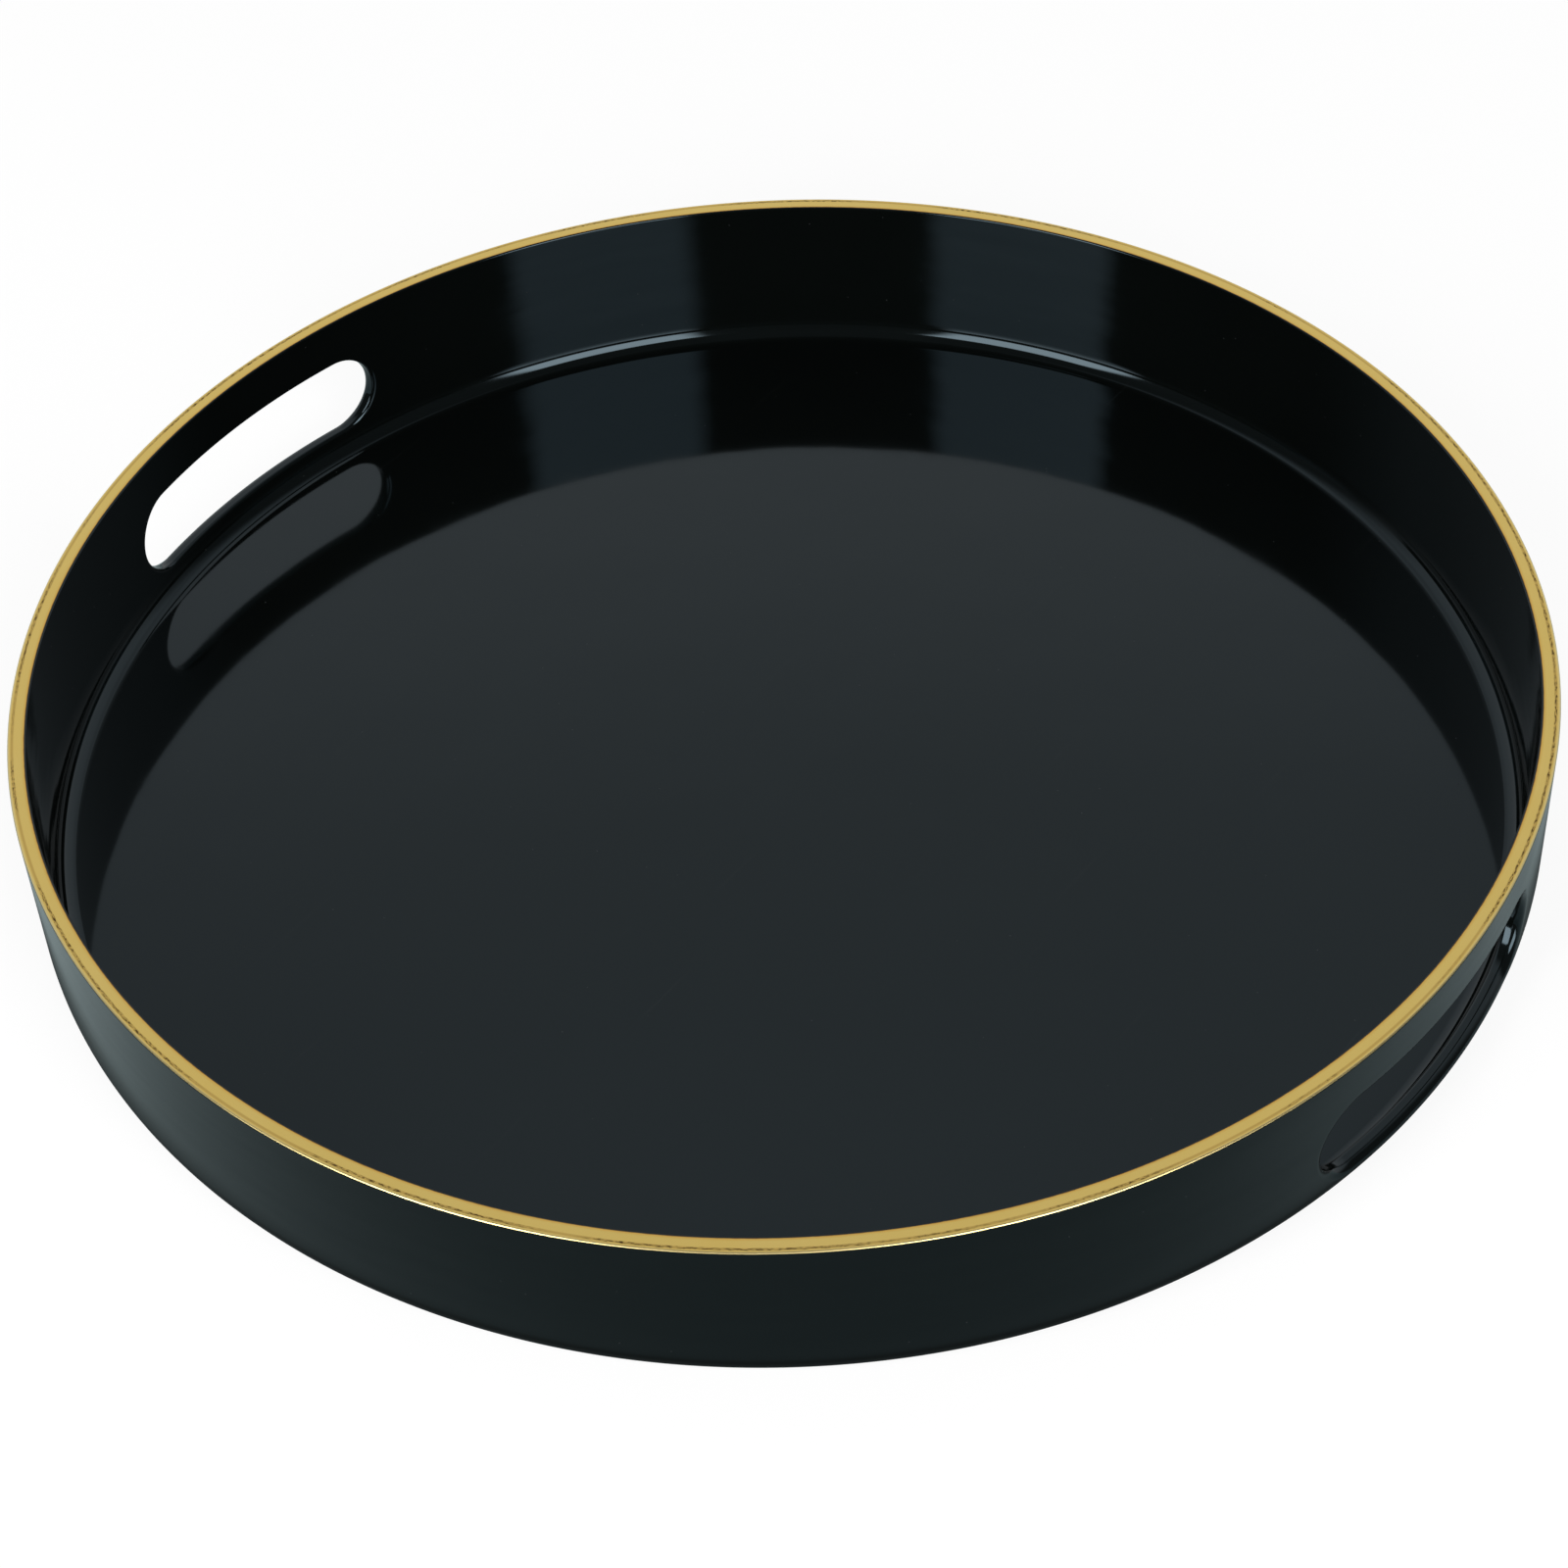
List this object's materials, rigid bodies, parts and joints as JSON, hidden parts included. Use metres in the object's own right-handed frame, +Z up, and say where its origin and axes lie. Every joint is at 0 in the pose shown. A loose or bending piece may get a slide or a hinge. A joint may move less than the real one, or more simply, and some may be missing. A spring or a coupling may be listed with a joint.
{
  "type": "serving tray",
  "caption": "Round black serving tray with an upright wall, hand holes on opposite sides, a gold foil rim and rubber feet.",
  "frame": {"origin": "middle of the plane that the feet stand on", "axes": "+Z up, +X and -X through the hand holes, -Y towards the front"},
  "size_m": [0.33, 0.33, 0.0415],
  "materials": {
    "gloss_moulding": "high gloss black, smooth as lacquer",
    "gold_foil": "satin gold hot-stamped foil",
    "foot_rubber": "matt black rubber"
  },
  "bodies": {
    "root": {"tray_body": "gloss_moulding", "rim_foil": "gold_foil", "foot_front_right": "foot_rubber", "foot_front_left": "foot_rubber", "foot_back_left": "foot_rubber", "foot_back_right": "foot_rubber"}
  },
  "joints": []
}
